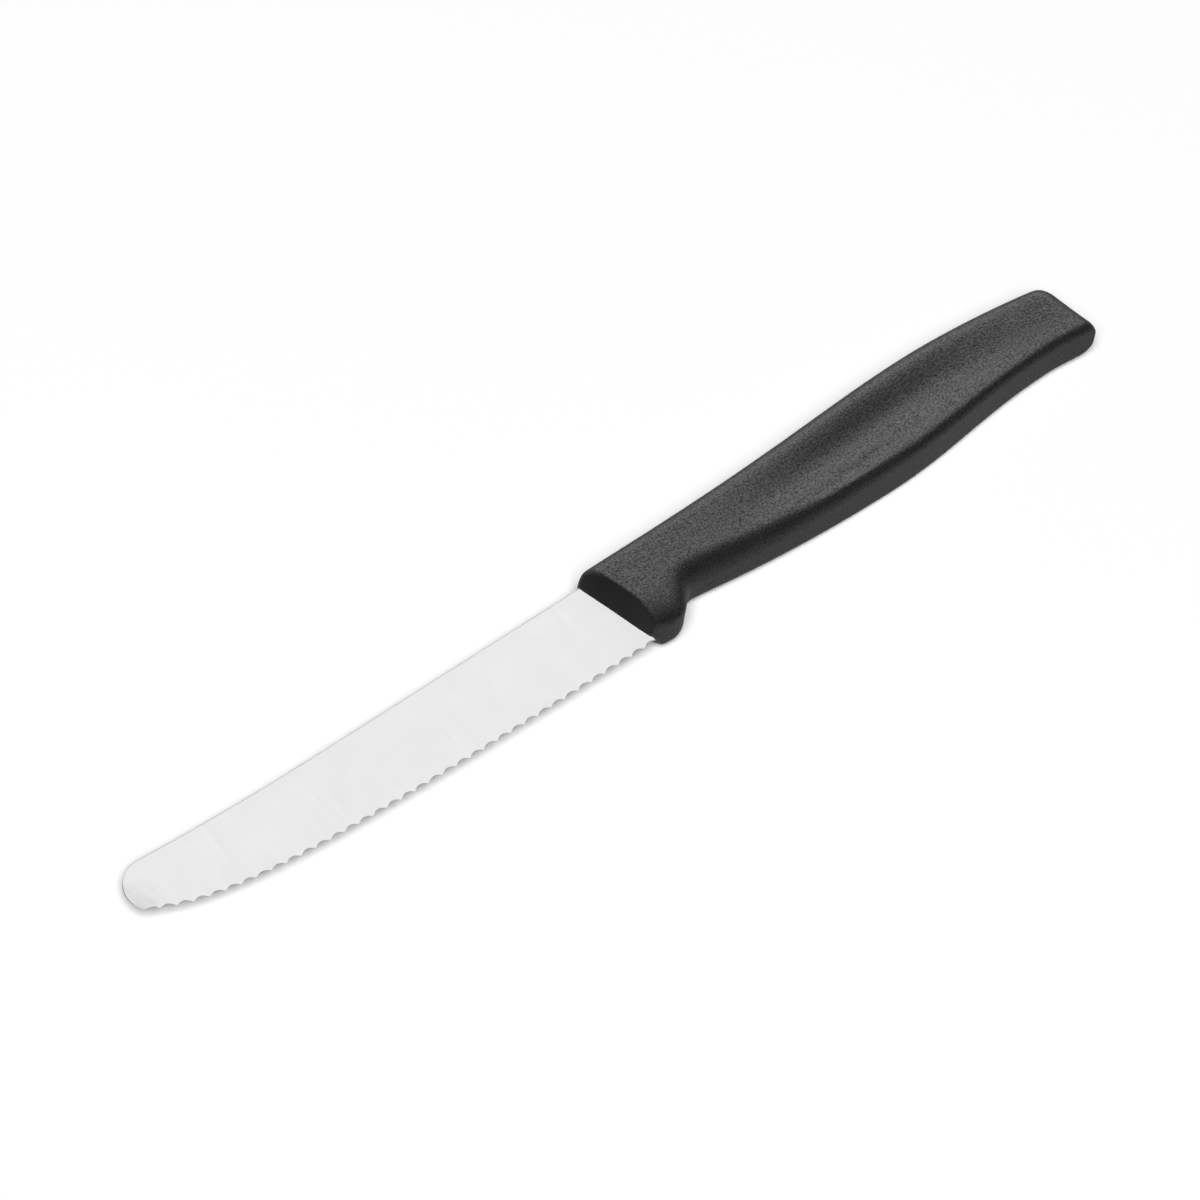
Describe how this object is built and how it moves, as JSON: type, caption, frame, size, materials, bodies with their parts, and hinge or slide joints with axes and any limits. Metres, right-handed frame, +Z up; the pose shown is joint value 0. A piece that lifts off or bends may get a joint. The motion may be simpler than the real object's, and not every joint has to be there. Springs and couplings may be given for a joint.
{
  "type": "sandwich knife",
  "caption": "Small kitchen knife with a round-tipped, scallop-edged steel blade and a contoured black moulded plastic handle, for cutting rolls and spreading.",
  "frame": {"origin": "under the middle of the knife's box, on the surface that the handle's flat side rests on", "axes": "the knife lies on its side: +X from the tip to the butt, +Y from the cutting edge to the spine, +Z up"},
  "size_m": [0.2176, 0.0198, 0.0112],
  "materials": {
    "blade_steel": "fine satin, ground across the blade",
    "handle_plastic": "black polypropylene with a fine moulded grain"
  },
  "bodies": {
    "root": {"blade": "blade_steel", "handle": "handle_plastic"}
  },
  "joints": []
}
